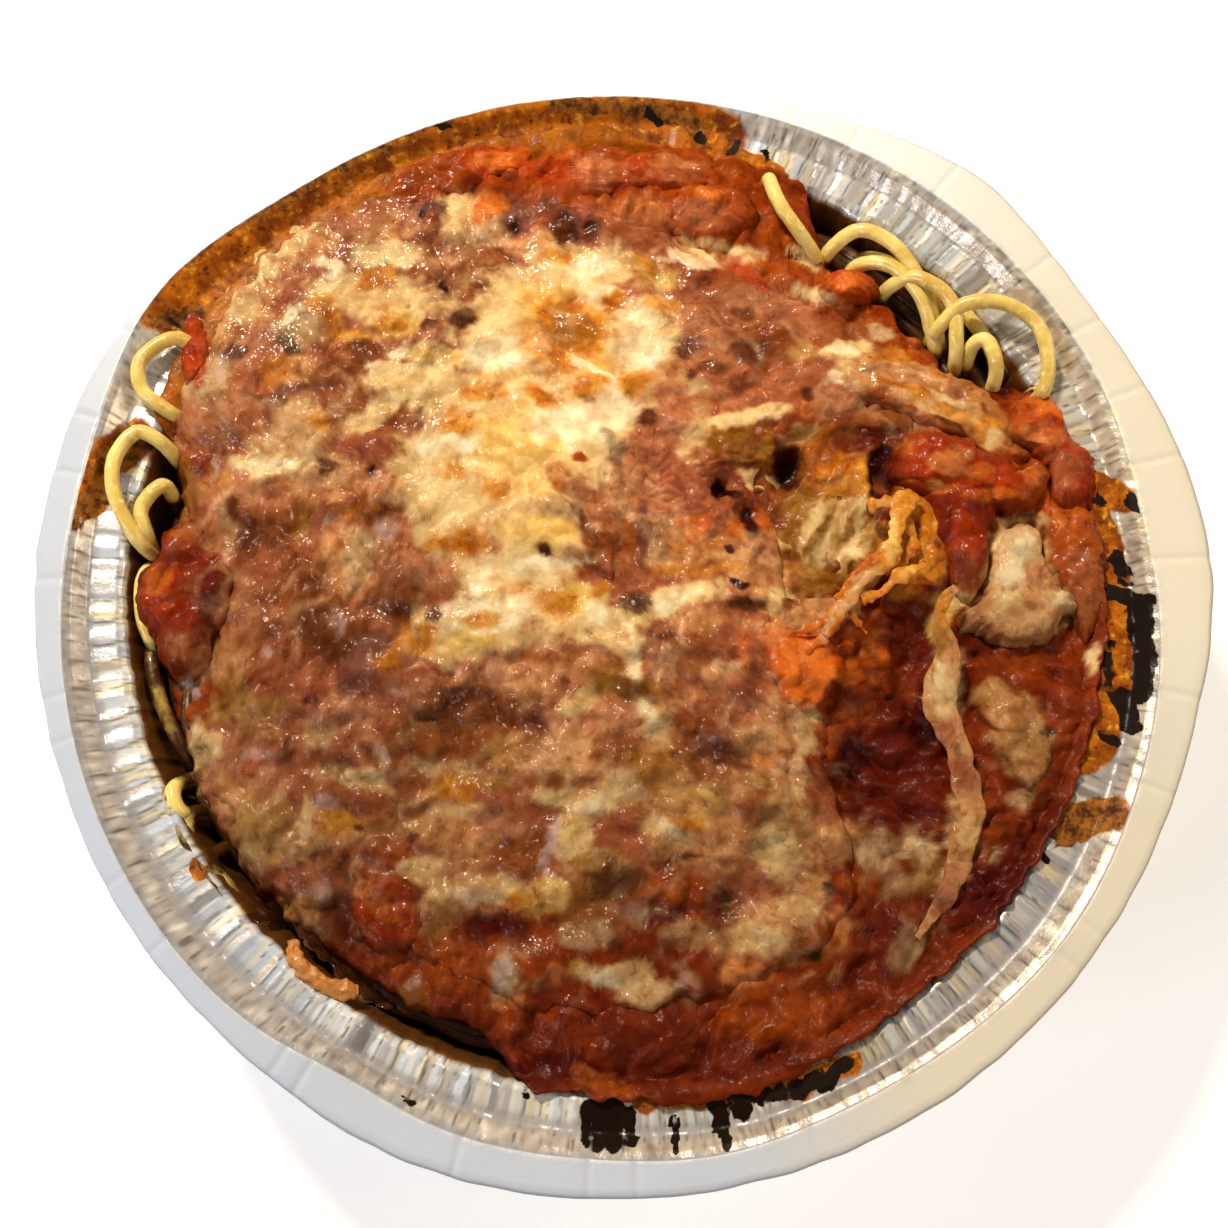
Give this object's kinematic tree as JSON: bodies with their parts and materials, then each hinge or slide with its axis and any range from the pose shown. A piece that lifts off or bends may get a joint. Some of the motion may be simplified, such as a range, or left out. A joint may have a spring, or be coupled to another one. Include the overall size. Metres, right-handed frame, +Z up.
{
  "type": "spaghetti with eggplant in a round foil container",
  "caption": "Round crinkled foil takeaway container filled with spaghetti, breaded eggplant slices, tomato sauce and browned melted cheese.",
  "frame": {"origin": "centre of the flat underside of the foil container", "axes": "+Z up out of the container, -Y towards the viewer of the picture, +X to the viewer's right"},
  "size_m": [0.1821, 0.1773, 0.049],
  "materials": {
    "foil": "crinkled bright foil with baked stains",
    "pasta": "moist cooked pasta",
    "sauce": "wet chunky tomato sauce",
    "tomato": "wet cooked tomato",
    "cheese": "melted cheese, browned in spots",
    "eggplant": "fried breadcrumbs over soft flesh",
    "crust": "frayed fried breading"
  },
  "bodies": {
    "root": {"pan": "foil", "spaghetti": "pasta", "sauce": "sauce", "cheese": "cheese", "eggplant_lower_left": "eggplant", "eggplant_bottom": "eggplant", "eggplant_right": "eggplant", "tomato_left": "tomato", "tomato_upper_left": "tomato", "tomato_top_left": "tomato", "tomato_top": "tomato", "tomato_top_right": "tomato", "tomato_by_noodles": "tomato", "tomato_big_right": "tomato", "tomato_right_edge": "tomato", "tomato_centre_right": "tomato", "tomato_lower_left": "tomato", "cheese_flap": "cheese", "cheese_patch": "cheese", "cheese_fold": "cheese", "cheese_strand": "cheese", "crust_strand": "crust"}
  },
  "joints": []
}
